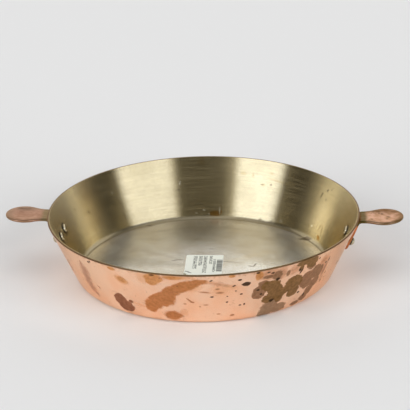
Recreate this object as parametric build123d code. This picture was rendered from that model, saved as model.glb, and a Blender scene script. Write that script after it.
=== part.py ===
from build123d import *
import math
import os

# Tarte tatin pan: a low conical copper pan with a steel lining bonded inside,
# two spoon-shaped handles riveted to the wall, and a paper label on the floor.
# Millimetres. Z is up, the handles lie along X, and the origin is the centre
# of the underside.

# Pan body
RIM_DIAMETER = 280.0
BASE_DIAMETER = 229.4
PAN_HEIGHT = 56.0
COPPER_THICKNESS = 1.7
STEEL_THICKNESS = 0.3
INNER_CORNER_RADIUS = 6.0
CORNER_STEPS = 2

# Handles
HANDLE_THICKNESS = 2.5
HANDLE_DROP = 3.5
HANDLE_RISE_DEG = 1.9
HANDLE_BEND_RADIUS = 3.0
HANDLE_EDGE_BEVEL = 0.7
HANDLE_REACH = 38.4
PADDLE_DIAMETER = 34.0
NECK_WIDTH = 23.6
NECK_BLEND_GAP = 0.3
DISH_DIAMETER = 26.0
DISH_DEPTH = 1.1
BELLY_DIAMETER = 28.0
BELLY_DEPTH = 0.9
FLANGE_WIDTH = 30.0
FLANGE_HEIGHT = 22.8
FLANGE_TOP_GAP = 1.2
FLANGE_CORNER_RADIUS = 7.0
SHOULDER_BLEND_RADIUS = 2.0

# Rivets
RIVET_SPACING = 20.0
RIVET_RISE = 9.5
RIVET_SHANK_DIAMETER = 4.5
RIVET_HOLE_CLEARANCE = 0.05
RIVET_HEAD_DIAMETER = 7.6
RIVET_HEAD_HEIGHT = 3.3
RIVET_HEAD_STEPS = 2
RIVET_END_DIAMETER = 8.6
RIVET_END_HEIGHT = 2.4
RIVET_SEAT_DEPTH = 0.3

# Paper label, with its front left corner folded over
LABEL_WIDTH = 34.0
LABEL_LENGTH = 56.0
LABEL_THICKNESS = 0.15
LABEL_CORNER_RADIUS = 1.5
LABEL_CENTRE_X = -0.7
LABEL_CENTRE_Y = -2.2
LABEL_TURN_DEG = 0.6
LABEL_FOLD_ACROSS = 11.0
LABEL_FOLD_ALONG = 16.0
LABEL_FOLD_RADIUS = 0.6

# Sizes that follow from the ones above
WALL_THICKNESS = COPPER_THICKNESS + STEEL_THICKNESS
OUTER_CORNER_RADIUS = INNER_CORNER_RADIUS + WALL_THICKNESS
RIM_RADIUS = RIM_DIAMETER / 2
BASE_RADIUS = BASE_DIAMETER / 2
WALL_LEAN = math.atan2(RIM_RADIUS - BASE_RADIUS, PAN_HEIGHT)
HANDLE_RISE = math.radians(HANDLE_RISE_DEG)
HANDLE_TIP = RIM_RADIUS + HANDLE_REACH
PADDLE_CENTRE = HANDLE_TIP - PADDLE_DIAMETER / 2
BEND_TOP_RADIUS = HANDLE_BEND_RADIUS + HANDLE_THICKNESS
UPWARD = Vector(0, 0, 1)


def wall_radius(height, depth):
    """Radius, at one height, of the cone that lies depth inside the outer wall."""
    return BASE_RADIUS + height * math.tan(WALL_LEAN) - depth / math.cos(WALL_LEAN)


def arc_points(centre, radius, first, last, steps):
    """Points along an arc, the ends of the straight steps that stand for it."""
    turns = [first + (last - first) * step / steps for step in range(steps + 1)]
    return [(centre[0] + radius * math.cos(turn), centre[1] + radius * math.sin(turn)) for turn in turns]


def pan_form(depth):
    """Full solid of the pan's outside, with its skin moved inward by depth."""
    radius = OUTER_CORNER_RADIUS - depth
    run = radius * math.tan((math.pi / 2 - WALL_LEAN) / 2)
    centre = (wall_radius(depth, depth) - run, depth + radius)
    corner = arc_points(centre, radius, -math.pi / 2, -WALL_LEAN, CORNER_STEPS)
    rim = (wall_radius(PAN_HEIGHT, depth), PAN_HEIGHT)
    outline = make_face(Polyline((0, depth), *corner, rim, (0, PAN_HEIGHT), close=True))
    return revolve(Plane.XZ * outline, Axis.Z)


def paddle_top(radius):
    """Height of the handle's top face at one distance from the pan's axis."""
    return PAN_HEIGHT - HANDLE_DROP + (radius - RIM_RADIUS) * math.tan(HANDLE_RISE)


def bend_corner(depth):
    """Where the wall line and the handle's top line, both moved by depth, cross."""
    lowering = depth / math.cos(HANDLE_RISE)
    start = wall_radius(paddle_top(0) + lowering, depth)
    radius = start / (1 - math.tan(HANDLE_RISE) * math.tan(WALL_LEAN))
    return radius, paddle_top(radius) + lowering


def bend_run(radius):
    """Length from the bend's sharp corner to the end of its rounding."""
    return radius * math.tan((math.pi / 2 - WALL_LEAN - HANDLE_RISE) / 2)


def flange_top():
    """Height where the flange's shoulders end, just under the bend."""
    run = bend_run(HANDLE_BEND_RADIUS)
    return bend_corner(-HANDLE_THICKNESS)[1] - run * math.cos(WALL_LEAN) - FLANGE_TOP_GAP


def flange_foot():
    """Height of the flange's lower edge."""
    return flange_top() - FLANGE_HEIGHT


def bent_sheet():
    """Sector of the handle's sheet: up the wall, through the bend, past the tip."""
    foot_height = flange_foot() - HANDLE_THICKNESS
    foot = (wall_radius(foot_height, 0), foot_height)
    far = HANDLE_TIP + HANDLE_THICKNESS
    top_line = FilletPolyline(foot, bend_corner(0), (far, paddle_top(far)), radius=BEND_TOP_RADIUS)
    section = make_face(offset(top_line, amount=HANDLE_THICKNESS, side=Side.RIGHT))
    sweep = math.degrees(2 * math.atan2(PADDLE_DIAMETER + FLANGE_WIDTH, 2 * BASE_RADIUS))
    sheet = revolve(Plane.XZ * section, Axis.Z, revolution_arc=sweep)
    return Rot(0, 0, -sweep / 2) * sheet


def round_inner_corners(outline, reach, radius):
    """Fillet the two corners where a strip along X meets the shape that it joins."""
    corners = outline.vertices().sort_by(lambda v: abs(v.X - reach))[:2]
    return fillet(corners, radius=radius)


def paddle_cutter():
    """Upright prism of the neck and the round paddle, blended from just past the bend."""
    half_neck = NECK_WIDTH / 2
    round_radius = PADDLE_DIAMETER / 2
    start = bend_corner(0)[0] + bend_run(BEND_TOP_RADIUS) + NECK_BLEND_GAP
    reach = PADDLE_CENTRE - start
    blend = (reach ** 2 - round_radius ** 2 + half_neck ** 2) / (2 * (round_radius - half_neck))
    neck_length = PADDLE_CENTRE - BASE_RADIUS
    neck = Pos(PADDLE_CENTRE - neck_length / 2, 0) * Rectangle(neck_length, NECK_WIDTH)
    outline = neck + Pos(PADDLE_CENTRE, 0) * Circle(round_radius)
    meeting = PADDLE_CENTRE - math.sqrt(round_radius ** 2 - half_neck ** 2)
    blended = round_inner_corners(outline, meeting, blend)
    return Pos(0, 0, flange_top()) * extrude(blended, amount=PAN_HEIGHT)


def flange_cutter():
    """Prism along X of the flange and the start of the neck, seen from the tip."""
    middle = (flange_top() + flange_foot()) / 2
    plate = Pos(middle, 0) * RectangleRounded(FLANGE_HEIGHT, FLANGE_WIDTH, FLANGE_CORNER_RADIUS)
    neck_length = 2 * PAN_HEIGHT - middle
    neck = Pos(middle + neck_length / 2, 0) * Rectangle(neck_length, NECK_WIDTH)
    blended = round_inner_corners(plate + neck, flange_top(), SHOULDER_BLEND_RADIUS)
    facing_tip = Plane(origin=(0, 0, 0), x_dir=(0, 0, 1), z_dir=(1, 0, 0))
    return extrude(facing_tip * blended, amount=PADDLE_CENTRE)


def shallow_ball(diameter, depth):
    """Ball on its side that dips depth below Z = 0, where it is diameter wide."""
    radius = (diameter ** 2 / 4 + depth ** 2) / (2 * depth)
    return Pos(0, 0, radius - depth) * Rot(90, 0, 0) * Sphere(radius)


def on_paddle(drop):
    """Place on the paddle's centre, square to its top face and drop below it."""
    spot = Pos(PADDLE_CENTRE, 0, paddle_top(PADDLE_CENTRE))
    return spot * Rot(0, -HANDLE_RISE_DEG, 0) * Pos(0, 0, -drop)


def right_handle():
    """Handle at +X: riveted flange, bend, neck and dished round paddle."""
    blank = bent_sheet() & (flange_cutter() + paddle_cutter())
    eased = chamfer(blank.edges(), length=HANDLE_EDGE_BEVEL)
    dish = on_paddle(0) * shallow_ball(DISH_DIAMETER, DISH_DEPTH)
    plug = Cylinder(BELLY_DIAMETER / 2, HANDLE_THICKNESS)
    belly = on_paddle(HANDLE_THICKNESS) * (shallow_ball(BELLY_DIAMETER, BELLY_DEPTH) & plug)
    return eased + belly - dish


def rivet_place(across):
    """Place on the outside of the wall at one rivet, Z pointing out of the pan."""
    height = flange_foot() + RIVET_RISE
    radius = wall_radius(height, 0)
    turn = math.degrees(math.asin(across * RIVET_SPACING / 2 / radius))
    tip_over = Rot(0, 90 + math.degrees(WALL_LEAN), 0)
    return Rot(0, 0, turn) * Pos(radius, 0, height) * tip_over


def rivet_head():
    """Flat-topped round head in straight steps, full width at Z = 0, with its foot below."""
    height = RIVET_HEAD_HEIGHT
    radius = (RIVET_HEAD_DIAMETER ** 2 / 4 + height ** 2) / (2 * height)
    foot_turn = math.asin((radius - height - RIVET_SEAT_DEPTH) / radius)
    flat_turn = (math.pi / 2 - foot_turn) / (2 * RIVET_HEAD_STEPS + 1)
    side = arc_points((0, height - radius), radius, math.pi / 2 - flat_turn, foot_turn, RIVET_HEAD_STEPS)
    outline = make_face(Polyline((0, side[0][1]), *side, (0, side[-1][1]), close=True))
    return revolve(Plane.XZ * outline, Axis.Z)


def post(diameter, bottom, top):
    """Round bar along Z between two heights."""
    return Pos(0, 0, (bottom + top) / 2) * Cylinder(diameter / 2, top - bottom)


def rivet(place):
    """One rivet: round head outside, flat end inside, both cut to the faces they seat on."""
    top = HANDLE_THICKNESS + RIVET_HEAD_HEIGHT / 2
    shank = place * post(RIVET_SHANK_DIAMETER, -WALL_THICKNESS - RIVET_END_HEIGHT / 2, top)
    head = place * Pos(0, 0, HANDLE_THICKNESS) * rivet_head() - pan_form(-HANDLE_THICKNESS)
    seat = RIVET_SEAT_DEPTH - WALL_THICKNESS
    end = place * post(RIVET_END_DIAMETER, -WALL_THICKNESS - RIVET_END_HEIGHT, seat)
    return head + shank + (end & pan_form(WALL_THICKNESS))


def rivet_hole(place):
    """Drill for one rivet, through the handle's flange and the wall."""
    length = 4 * (HANDLE_THICKNESS + WALL_THICKNESS)
    return place * Cylinder(RIVET_SHANK_DIAMETER / 2 + RIVET_HOLE_CLEARANCE, length)


def label_place():
    """Place of the label's centre on the pan's floor."""
    return Pos(LABEL_CENTRE_X, LABEL_CENTRE_Y, WALL_THICKNESS) * Rot(0, 0, LABEL_TURN_DEG)


def paper_label():
    """Flat label with one corner folded over and lying on its own top."""
    sheet = RectangleRounded(LABEL_WIDTH, LABEL_LENGTH, LABEL_CORNER_RADIUS)
    side = Vector(-LABEL_WIDTH / 2, LABEL_FOLD_ALONG - LABEL_LENGTH / 2, 0)
    front = Vector(LABEL_FOLD_ACROSS - LABEL_WIDTH / 2, -LABEL_LENGTH / 2, 0)
    crease = Plane(origin=side, x_dir=front - side, z_dir=UPWARD.cross(front - side))
    kept = split(sheet, bisect_by=crease, keep=Keep.TOP)
    flap = mirror(split(sheet, bisect_by=crease, keep=Keep.BOTTOM), about=crease)
    rise = 2 * LABEL_FOLD_RADIUS + LABEL_THICKNESS
    across = Plane(origin=front, x_dir=-crease.z_dir, z_dir=-crease.x_dir)
    outer = LABEL_FOLD_RADIUS + LABEL_THICKNESS
    ring = Circle(outer) - Circle(LABEL_FOLD_RADIUS)
    half_ring = Pos(0, outer) * (ring & Pos(outer, 0) * Rectangle(2 * outer, 2 * outer))
    roll = extrude(across * half_ring, amount=(front - side).length)
    layers = extrude(kept, amount=LABEL_THICKNESS)
    layers += Pos(0, 0, rise) * extrude(flap, amount=LABEL_THICKNESS)
    return label_place() * (layers + roll)


def build_parts():
    """Every piece of the pan by the name of its node."""
    half_turn = Rot(0, 0, 180)
    places = {
        "rivet_right_back": rivet_place(1),
        "rivet_right_front": rivet_place(-1),
        "rivet_left_front": half_turn * rivet_place(1),
        "rivet_left_back": half_turn * rivet_place(-1),
    }
    holes = Part() + [rivet_hole(place) for place in places.values()]
    outside = pan_form(0)
    bond = pan_form(COPPER_THICKNESS)
    handle = right_handle()
    pieces = {
        "copper_shell": outside - bond - holes,
        "steel_lining": bond - pan_form(WALL_THICKNESS) - holes,
        "handle_right": handle - holes,
        "handle_left": half_turn * handle - holes,
        "paper_label": paper_label(),
    }
    for name, place in places.items():
        pieces[name] = rivet(place)
    return pieces


os.makedirs("parts", exist_ok=True)
for name, piece in build_parts().items():
    piece.label = name
    export_step(piece, os.path.join("parts", name + ".step"))
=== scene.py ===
import math

import bmesh
import bpy
from mathutils import Matrix, Vector


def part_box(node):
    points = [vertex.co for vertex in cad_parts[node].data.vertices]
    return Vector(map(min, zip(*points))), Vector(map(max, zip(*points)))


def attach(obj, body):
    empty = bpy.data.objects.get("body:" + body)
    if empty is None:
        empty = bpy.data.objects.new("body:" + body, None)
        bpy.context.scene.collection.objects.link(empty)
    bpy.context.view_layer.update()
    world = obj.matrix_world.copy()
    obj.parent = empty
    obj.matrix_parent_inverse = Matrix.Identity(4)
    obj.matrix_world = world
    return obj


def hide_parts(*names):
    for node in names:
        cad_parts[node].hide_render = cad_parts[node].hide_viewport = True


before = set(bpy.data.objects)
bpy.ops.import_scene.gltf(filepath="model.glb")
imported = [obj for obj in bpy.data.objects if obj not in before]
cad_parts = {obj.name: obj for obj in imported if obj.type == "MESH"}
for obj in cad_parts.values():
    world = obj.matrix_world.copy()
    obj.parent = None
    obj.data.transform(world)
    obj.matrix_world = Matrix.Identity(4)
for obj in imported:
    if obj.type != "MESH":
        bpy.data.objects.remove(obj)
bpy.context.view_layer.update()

# Tarte tatin pan. Metres, with the part's own frame: Z up, handles along X.
MM = 0.001

# Pan body
RIM_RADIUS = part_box("copper_shell")[1].x
PAN_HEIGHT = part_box("copper_shell")[1].z
BASE_RADIUS = 114.7 * MM
COPPER_THICKNESS = 1.7 * MM
WALL_THICKNESS = 2.0 * MM
INNER_CORNER_RADIUS = 6.0 * MM
RIM_EDGE_ROUNDING = 0.7 * MM
LINING_EDGE_ROUNDING = 0.1 * MM
WALL_LEAN = math.atan2(RIM_RADIUS - BASE_RADIUS, PAN_HEIGHT)
BODY_SEGMENTS = 360
CORNER_STEPS = 10
NORMALS_WEIGHT = 100
LATHE_PATH_RADIUS = 0.1  # cancelled again in the profile, so it changes no size
MERGE_DISTANCE = 1e-6

# Rivets
RIVET_COUNT = 4
SHANK_SIDES = 32
HANDLE_THICKNESS = 2.5 * MM
FLANGE_FOOT_TO_RIVETS = 9.5 * MM
RIVET_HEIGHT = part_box("handle_right")[0].z + FLANGE_FOOT_TO_RIVETS
RIVET_SIZES = {
    "Wall Radius": BASE_RADIUS + RIVET_HEIGHT * math.tan(WALL_LEAN), "Wall Lean": WALL_LEAN,
    "Rivet Height": RIVET_HEIGHT, "Spacing": 20.0 * MM, "Head Diameter": 7.6 * MM,
    "Head Height": 3.3 * MM, "End Diameter": 7.6 * MM, "End Height": 2.1 * MM, "End Power": 0.6,
    "Shank Diameter": 4.5 * MM, "Sink": 0.1 * MM, "Outer Seat": HANDLE_THICKNESS,
    "Inner Seat": WALL_THICKNESS}

# Handles
HANDLE_VOXEL = 0.32 * MM
HANDLE_SMOOTHING = 9
HANDLE_SMOOTHING_SHARE = 0.5

# Camera, as fitted to the photo
CAMERA_TARGET = Vector((1.53, 0.11, 62.25)) * MM
CAMERA_DISTANCE = 1.788
CAMERA_AZIMUTH = math.radians(4.03)
CAMERA_ELEVATION = math.radians(22.26)
CAMERA_ROLL = math.radians(-1.15)
FOCAL_PIXELS = 2000.0
FRAME_PIXELS = 410.0
CAMERA_SIGHT = 50.0


def wire(tree, socket, value):
    """Link a socket to another one, or set its value."""
    if isinstance(value, bpy.types.NodeSocket):
        tree.links.new(value, socket)
    elif socket.type == "RGBA":
        socket.default_value = (*value, 1)
    else:
        socket.default_value = value


def add(tree, kind, inputs=None, **settings):
    """New node with its settings and inputs."""
    node = tree.nodes.new(kind)
    for name, value in settings.items():
        setattr(node, name, value)
    for key, value in (inputs or {}).items():
        wire(tree, node.inputs[key], value)
    return node


def made(tree, kind, inputs=None, **settings):
    """First output of a new node."""
    return add(tree, kind, inputs, **settings).outputs[0]


def calc(tree, operation, *values, clamp=False):
    """Result of one Math node."""
    return made(tree, "ShaderNodeMath", dict(enumerate(values)), operation=operation, use_clamp=clamp)


def math_node(operation):
    """Function that adds one Math node of one kind."""
    return lambda tree, *values, **settings: calc(tree, operation, *values, **settings)


plus, minus, times, over, most = map(math_node, ("ADD", "SUBTRACT", "MULTIPLY", "DIVIDE", "MAXIMUM"))


def split(tree, vector):
    """X, Y and Z of a vector, by name."""
    return add(tree, "ShaderNodeSeparateXYZ", {0: vector}).outputs


def point(tree, x=0.0, y=0.0, z=0.0):
    """Vector from its X, Y and Z."""
    return made(tree, "ShaderNodeCombineXYZ", {"X": x, "Y": y, "Z": z})


def new_tree(name, kind, inputs, outputs):
    """Node group with named sockets; gives the tree, its inputs' values and its results' sockets.

    An input is given with its starting value, or with the kind of its socket where it has none.
    """
    tree = bpy.data.node_groups.new(name, kind + "NodeTree")
    for label, value in inputs.items():
        named = isinstance(value, str)
        socket_kind = value if named else type(value).__name__.capitalize()
        socket = tree.interface.new_socket(label, in_out="INPUT", socket_type="NodeSocket" + socket_kind)
        if not named:
            socket.default_value = value
    for label, socket_kind in outputs.items():
        tree.interface.new_socket(label, in_out="OUTPUT", socket_type="NodeSocket" + socket_kind)
    return tree, tree.nodes.new("NodeGroupInput").outputs, tree.nodes.new("NodeGroupOutput").inputs


def use(tree, group, inputs=None):
    """Result of a node group with these input values."""
    kind = group.bl_idname.replace("NodeTree", "NodeGroup")
    return made(tree, kind, inputs, node_tree=group)


def new_object(name, data):
    """Object in the scene with this mesh or camera."""
    thing = bpy.data.objects.new(name, data)
    bpy.context.scene.collection.objects.link(thing)
    return thing


def only_material(mesh, material):
    """Give a mesh this one material."""
    mesh.materials.clear()
    mesh.materials.append(material)


def build_from_tree(name, tree, values):
    """Plain mesh object made by one geometry tree with these input values."""
    carrier = new_object(name, bpy.data.meshes.new(name))
    modifier = carrier.modifiers.new("build", "NODES")
    modifier.node_group = tree
    for item in tree.interface.items_tree:
        if item.in_out == "INPUT" and item.name in values:
            modifier[item.identifier] = values[item.name]
    return made_plain(carrier)


def made_plain(carrier):
    """Replace an object's mesh and modifiers by its evaluated mesh."""
    evaluated = carrier.evaluated_get(bpy.context.evaluated_depsgraph_get())
    mesh = bpy.data.meshes.new_from_object(evaluated)
    carrier.modifiers.clear()
    carrier.data = mesh
    mesh.name = carrier.name
    return carrier


# Geometry trees

def point_index(tree):
    """Number of each point of a line."""
    return made(tree, "GeometryNodeInputIndex")


def point_place(tree):
    """X, Y and Z of each point."""
    return split(tree, made(tree, "GeometryNodeInputPosition"))


def points_at(tree, count, place, curve):
    """Row of points set at their places, joined as a curve or loose."""
    row = made(tree, "GeometryNodeMeshLine", {"Count": count})
    if curve:
        row = made(tree, "GeometryNodeMeshToCurve", {"Mesh": row})
    return made(tree, "GeometryNodeSetPosition", {"Geometry": row, "Position": place})


def lathed(tree, lathe, profile, segments):
    """Round body with its faces outwards, from half of its outline."""
    body = use(tree, lathe, {"Profile": profile, "Segments": segments})
    return made(tree, "GeometryNodeFlipFaces", {"Mesh": body})


def with_material(tree, geometry, material):
    """Same geometry with a material on it."""
    return made(tree, "GeometryNodeSetMaterial", {"Geometry": geometry, "Material": material})


def lathe_tree():
    """Turn a profile curve, X as radius and Y as height, about the Z axis."""
    tree, given, result = new_tree("lathe", "Geometry", {
        "Profile": "Geometry", "Segments": 64}, {"Mesh": "Geometry"})
    here = point_place(tree)
    place = point(tree, minus(tree, here["X"], LATHE_PATH_RADIUS), times(tree, here["Y"], -1.0))
    profile = made(tree, "GeometryNodeSetPosition", {"Geometry": given["Profile"], "Position": place})
    circle = made(tree, "GeometryNodeCurvePrimitiveCircle",
                  {"Resolution": given["Segments"], "Radius": LATHE_PATH_RADIUS})
    path = made(tree, "GeometryNodeSetCurveNormal", {0: circle}, mode="Z_UP")
    swept = made(tree, "GeometryNodeCurveToMesh", {"Curve": path, "Profile Curve": profile})
    closed = made(tree, "GeometryNodeMergeByDistance", {"Geometry": swept, "Distance": MERGE_DISTANCE})
    wire(tree, result["Mesh"], made(tree, "GeometryNodeSetShadeSmooth", {"Geometry": closed}))
    return tree


def by_index(tree, kind, values):
    """Field that takes one of the values by the point's index."""
    node = add(tree, "GeometryNodeIndexSwitch", data_type=kind)
    while len(node.index_switch_items) < len(values):
        node.index_switch_items.new()
    wire(tree, node.inputs["Index"], point_index(tree))
    for place, value in enumerate(values):
        wire(tree, node.inputs[str(place)], value)
    return node.outputs[0]


def pan_skin_tree(lathe):
    """Bowl between two skins of the conical wall, with a rounded floor corner and rim."""
    tree, given, result = new_tree("pan_skin", "Geometry", {
        "Rim Radius": 0.14, "Base Radius": 0.11, "Height": 0.05, "Outer Depth": 0.0, "Inner Depth": 0.002,
        "Corner Radius": 0.008, "Outer Rim Rounding": 0.0005, "Inner Rim Rounding": 0.0001, "Segments": 64,
        "Material": "Material"}, {"Mesh": "Geometry"})
    widening = minus(tree, given["Rim Radius"], given["Base Radius"])
    slope = over(tree, widening, given["Height"])
    slant = calc(tree, "SQRT", calc(tree, "MULTIPLY_ADD", slope, slope, 1.0))

    def corner(height, depth):
        outside = calc(tree, "MULTIPLY_ADD", height, slope, given["Base Radius"])
        return point(tree, minus(tree, outside, times(tree, depth, slant)), height)

    outer, inner, height = given["Outer Depth"], given["Inner Depth"], given["Height"]
    points = [point(tree, 0.0, outer), corner(outer, outer), corner(height, outer),
              corner(height, inner), corner(inner, inner), point(tree, 0.0, inner)]
    outer_bend = minus(tree, given["Corner Radius"], outer)
    inner_bend = minus(tree, given["Corner Radius"], inner)
    bends = [0.0, outer_bend, given["Outer Rim Rounding"], given["Inner Rim Rounding"], inner_bend, 0.0]
    outline = points_at(tree, len(points), by_index(tree, "VECTOR", points), curve=True)
    rounded = made(tree, "GeometryNodeFilletCurve",
                   {"Curve": outline, "Radius": by_index(tree, "FLOAT", bends), "Count": CORNER_STEPS},
                   mode="POLY")
    body = lathed(tree, lathe, rounded, given["Segments"])
    wire(tree, result["Mesh"], with_material(tree, body, given["Material"]))
    return tree


def knob_tree(lathe):
    """Round knob over Z = 0, its flat foot sunk a little; stores how high each point lies.

    Power 1 gives an oval dome, and a lower power a flatter top with a rounded edge.
    """
    tree, given, result = new_tree("rivet_knob", "Geometry", {
        "Diameter": 0.008, "Height": 0.002, "Power": 1.0, "Sink": 0.0001, "Rings": 16,
        "Segments": 40}, {"Mesh": "Geometry"})
    # Points 0 to Rings lie on the dome, the next one on the sunk foot's edge and the last in its middle
    index = point_index(tree)
    share = over(tree, index, given["Rings"], clamp=True)
    turn = times(tree, share, math.pi / 2)
    past = calc(tree, "GREATER_THAN", index, given["Rings"])
    last = calc(tree, "GREATER_THAN", index, plus(tree, given["Rings"], 1.0))
    across = calc(tree, "POWER", calc(tree, "SINE", turn), given["Power"])
    half = times(tree, given["Diameter"], times(tree, across, 0.5))
    radius = times(tree, half, minus(tree, 1.0, last))
    falling = most(tree, calc(tree, "COSINE", turn), 0.0)
    crown = times(tree, given["Height"], calc(tree, "POWER", falling, given["Power"]))
    height = minus(tree, crown, times(tree, past, given["Sink"]))
    outline = points_at(tree, plus(tree, given["Rings"], 3.0), point(tree, radius, height), curve=True)
    rise = over(tree, point_place(tree)["Z"], given["Height"], clamp=True)
    body = lathed(tree, lathe, outline, given["Segments"])
    marked = made(tree, "GeometryNodeStoreNamedAttribute", {"Geometry": body, "Name": "rise", "Value": rise},
                  data_type="FLOAT", domain="POINT")
    wire(tree, result["Mesh"], marked)
    return tree


def rivets_tree(knob):
    """Two rivets at each end of the pan, square to the leaning wall."""
    tree, given, result = new_tree("rivets", "Geometry", {
        "Wall Radius": 0.13, "Wall Lean": 0.4, "Rivet Height": 0.03, "Spacing": 0.02,
        "Head Diameter": 0.008, "Head Height": 0.003, "End Diameter": 0.008, "End Height": 0.0015,
        "End Power": 0.5, "Shank Diameter": 0.0045, "Sink": 0.0001, "Outer Seat": 0.0025,
        "Inner Seat": 0.002, "Material": "Material"}, {"Mesh": "Geometry"})

    def moved(geometry, distance, turn=0.0):
        return made(tree, "GeometryNodeTransform", {
            "Geometry": geometry, "Translation": point(tree, z=distance), "Rotation": (turn, 0, 0)})

    def knob_for(side, power=1.0):
        return use(tree, knob, {"Diameter": given[side + " Diameter"], "Height": given[side + " Height"],
                                "Power": power, "Sink": given["Sink"]})

    outside, inside = given["Outer Seat"], given["Inner Seat"]
    head, end = knob_for("Head"), knob_for("End", given["End Power"])
    shank = made(tree, "GeometryNodeMeshCylinder",
                 {"Vertices": SHANK_SIDES, "Radius": times(tree, given["Shank Diameter"], 0.5),
                  "Depth": plus(tree, outside, inside)})
    middle = times(tree, minus(tree, outside, inside), 0.5)
    rivet = add(tree, "GeometryNodeJoinGeometry")
    for piece in (moved(head, outside), moved(shank, middle),
                  moved(end, times(tree, inside, -1.0), math.pi)):
        tree.links.new(piece, rivet.inputs[0])

    index = point_index(tree)
    end_of_pan = calc(tree, "FLOOR", over(tree, index, 2.0))
    hand = calc(tree, "MULTIPLY_ADD", calc(tree, "MODULO", index, 2.0), 2.0, -1.0)
    across = times(tree, hand, times(tree, given["Spacing"], 0.5))
    swing = calc(tree, "ARCSINE", over(tree, across, given["Wall Radius"]))
    azimuth = calc(tree, "MULTIPLY_ADD", end_of_pan, math.pi, swing)
    x, y = [times(tree, given["Wall Radius"], calc(tree, ratio, azimuth)) for ratio in ("COSINE", "SINE")]
    place = point(tree, x, y, given["Rivet Height"])
    turn = point(tree, y=plus(tree, given["Wall Lean"], math.pi / 2), z=azimuth)
    row = made(tree, "GeometryNodeInstanceOnPoints",
               {"Points": points_at(tree, RIVET_COUNT, place, curve=False), "Instance": rivet.outputs[0],
                "Rotation": turn})
    real = made(tree, "GeometryNodeRealizeInstances", {"Geometry": row})
    wire(tree, result["Mesh"], with_material(tree, real, given["Material"]))
    return tree


# Shader groups

def smooth_step(tree, value, start, end):
    """Soft step from 0 to 1 between two values."""
    return made(tree, "ShaderNodeMapRange", {"Value": value, "From Min": start, "From Max": end},
                interpolation_type="SMOOTHSTEP")


def window(tree, value, start, end, start_blur, end_blur):
    """One between two values, with soft ends."""
    opening = smooth_step(tree, value, minus(tree, start, start_blur), plus(tree, start, start_blur))
    closing = smooth_step(tree, value, plus(tree, end, end_blur), minus(tree, end, end_blur))
    return times(tree, opening, closing)


def spread(tree, value, start, end):
    """Share from 0 to 1 turned into a value between two others."""
    return made(tree, "ShaderNodeMapRange", {"Value": value, "To Min": start, "To Max": end})


def noise(tree, vector, scale, detail=3.0, roughness=0.5):
    """Cloudy value around one half."""
    return made(tree, "ShaderNodeTexNoise",
                {"Vector": vector, "Scale": scale, "Detail": detail, "Roughness": roughness})


def mix_colour(tree, share, first, second):
    """Blend of two colours."""
    return add(tree, "ShaderNodeMix", {"Factor": share, 6: first, 7: second}, data_type="RGBA").outputs[2]


def stained(tree, base, mask, strength, paint):
    """Base colour with another one over it."""
    return mix_colour(tree, times(tree, mask, strength), base, paint)


def turned(tree, vector, angle):
    """Vector turned about Z by an angle in degrees."""
    return made(tree, "ShaderNodeVectorRotate",
                {"Vector": vector, "Angle": times(tree, angle, math.pi / 180)}, rotation_type="Z_AXIS")


def hypotenuse(tree, first, second):
    """Length of a right triangle's long side."""
    square = times(tree, first, first)
    return calc(tree, "SQRT", calc(tree, "MULTIPLY_ADD", second, second, square))


def coordinates(tree):
    """Object coordinates, in metres."""
    return add(tree, "ShaderNodeTexCoord").outputs["Object"]


def place_in_mm(tree):
    """Object coordinates in millimetres."""
    return made(tree, "ShaderNodeVectorMath", {0: coordinates(tree), "Scale": 1 / MM}, operation="SCALE")


def round_place(tree):
    """X, Y, height and distance from the pan's axis, in millimetres."""
    parts = split(tree, place_in_mm(tree))
    return parts["X"], parts["Y"], parts["Z"], hypotenuse(tree, parts["X"], parts["Y"])


def upwardness(tree):
    """How far a face looks up: 1 on a level top, 0 on an upright wall."""
    return split(tree, add(tree, "ShaderNodeNewGeometry").outputs["Normal"])["Z"]


def wall_place_group():
    """Wall unrolled flat: millimetres along it from an azimuth, and height."""
    tree, given, result = new_tree("wall_place", "Shader", {
        "Middle": 0.0, "Reach": 125.0}, {"Place": "Vector"})
    parts = split(tree, turned(tree, place_in_mm(tree), times(tree, given["Middle"], -1.0)))
    along = times(tree, calc(tree, "ARCTAN2", parts["Y"], parts["X"]), given["Reach"])
    wire(tree, result["Place"], point(tree, along, parts["Z"]))
    return tree


def blob_group():
    """Oval spot with a ragged edge. Its two axes are given divided by its half length and half width."""
    tree, given, result = new_tree("blob", "Shader", {
        "Place": "Vector", "Centre": "Vector", "Along": "Vector", "Across": "Vector", "Ragged": 0.0,
        "Softness": 0.2}, {"Mask": "Float"})
    offset = made(tree, "ShaderNodeVectorMath", {0: given["Place"], 1: given["Centre"]}, operation="SUBTRACT")
    sides = [add(tree, "ShaderNodeVectorMath", {0: offset, 1: given[axis]},
                 operation="DOT_PRODUCT").outputs["Value"] for axis in ("Along", "Across")]
    edge = plus(tree, hypotenuse(tree, *sides), given["Ragged"])
    inside = minus(tree, 1.0, given["Softness"])
    outside = plus(tree, 1.0, given["Softness"])
    wire(tree, result["Mask"], smooth_step(tree, edge, outside, inside))
    return tree


def speck_group():
    """Small round spots, in some cells of a grid of random points."""
    tree, given, result = new_tree("specks", "Shader", {
        "Cell": 6.0, "Size": 0.5, "Share": 0.5}, {"Mask": "Float"})
    cells = add(tree, "ShaderNodeTexVoronoi", {
        "Vector": place_in_mm(tree), "Scale": over(tree, 1.0, given["Cell"]), "Randomness": 1.0}).outputs
    draw = add(tree, "ShaderNodeSeparateColor", {0: cells["Color"]}).outputs
    chosen = calc(tree, "LESS_THAN", draw[0], given["Share"])
    own_size = times(tree, given["Size"], plus(tree, draw[1], 0.4))
    distance = times(tree, cells["Distance"], given["Cell"])
    spot = smooth_step(tree, distance, own_size, times(tree, own_size, 0.6))
    wire(tree, result["Mask"], times(tree, spot, chosen))
    return tree


AXIS_GAP = 1e-3  # in mm, keeps the pan's axis from a division by zero


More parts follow.
